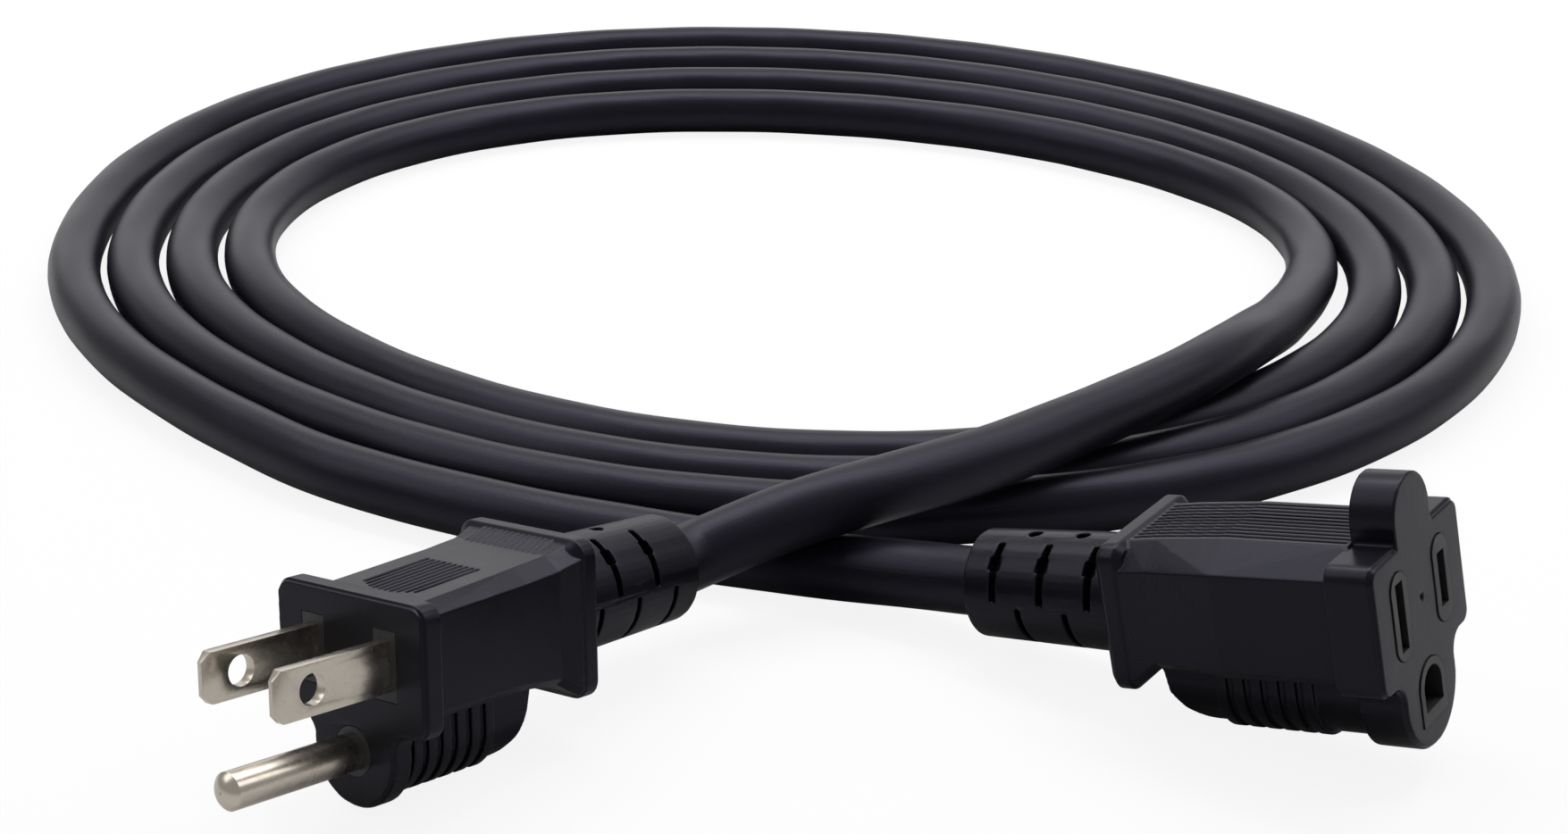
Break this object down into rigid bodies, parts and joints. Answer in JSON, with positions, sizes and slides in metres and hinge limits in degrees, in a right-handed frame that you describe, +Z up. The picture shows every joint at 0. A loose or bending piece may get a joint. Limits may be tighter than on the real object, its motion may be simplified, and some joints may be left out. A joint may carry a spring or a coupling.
{
  "type": "extension cord",
  "caption": "Loosely coiled round extension cord with a moulded flat-blade grounding plug and a moulded in-line outlet, each with a slotted strain relief.",
  "frame": {"origin": "centre of the bounding box's bottom, on the surface the cord lies on", "axes": "+Z up from the surface, +Y from the plug and connector towards the back of the coil, +X to the connector's side"},
  "size_m": [0.2749, 0.3682, 0.0398],
  "materials": {
    "overmould": "satin black moulded vinyl",
    "hard_insert": "hard black moulded insert",
    "plated_blade": "nickel-plated brass, warm and lightly scuffed",
    "contact_brass": "stamped spring brass",
    "insulation_black": "smooth black vinyl",
    "insulation_white": "smooth white vinyl",
    "insulation_green": "smooth green vinyl",
    "copper": "bare stranded copper",
    "jacket": "satin black flexible vinyl jacket"
  },
  "bodies": {
    "root": {"plug_body": "overmould", "plug_bridge": "hard_insert", "hot_blade": "plated_blade", "neutral_blade": "plated_blade", "ground_pin": "plated_blade", "plug_wire_hot": "insulation_black", "plug_wire_neutral": "insulation_white", "plug_wire_ground": "insulation_green", "plug_copper_hot": "copper", "plug_copper_neutral": "copper", "plug_copper_ground": "copper", "plug_jacket": "jacket", "outlet_body": "overmould", "contact_block": "hard_insert", "hot_contact": "contact_brass", "neutral_contact": "contact_brass", "ground_contact": "contact_brass", "outlet_wire_hot": "insulation_black", "outlet_wire_neutral": "insulation_white", "outlet_wire_ground": "insulation_green", "outlet_copper_hot": "copper", "outlet_copper_neutral": "copper", "outlet_copper_ground": "copper", "outlet_jacket": "jacket", "plug_lead": "jacket", "coil": "jacket", "outlet_lead": "jacket"}
  },
  "joints": []
}
